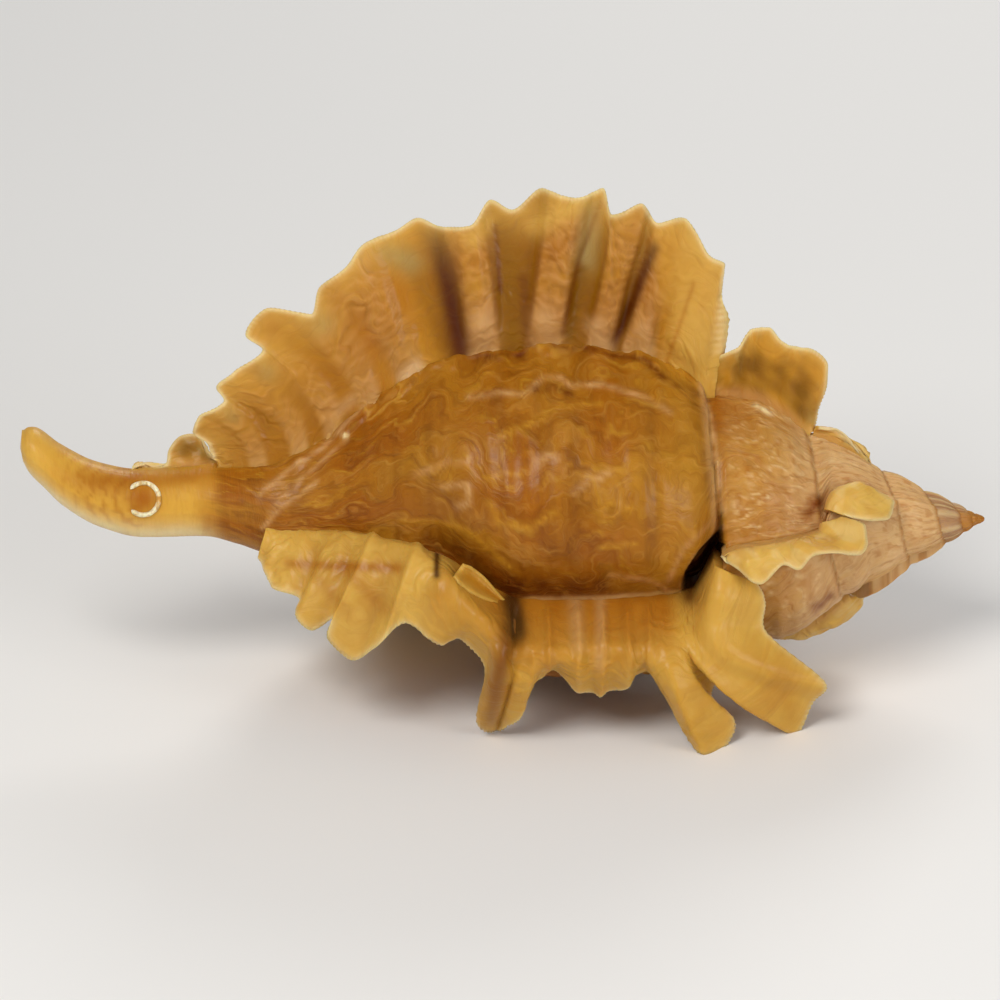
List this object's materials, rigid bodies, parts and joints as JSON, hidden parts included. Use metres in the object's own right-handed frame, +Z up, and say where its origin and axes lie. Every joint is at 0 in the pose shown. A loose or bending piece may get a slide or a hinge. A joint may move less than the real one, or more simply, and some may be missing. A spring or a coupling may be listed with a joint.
{
  "type": "murex shell",
  "caption": "Winged murex sea shell lying on its side wings, with a bent siphonal canal, a short pointed spire and an open aperture on its underside.",
  "frame": {"origin": "centre of the footprint, on the surface the shell lies on", "axes": "+X along the coiling axis towards the apex, +Z up through the lip wing, the shell's back faces -Y and up"},
  "size_m": [0.091, 0.0376, 0.0486],
  "materials": {
    "shell": "glossy, slightly translucent at the wing rims"
  },
  "bodies": {
    "root": {"murex_shell": "shell"}
  },
  "joints": []
}
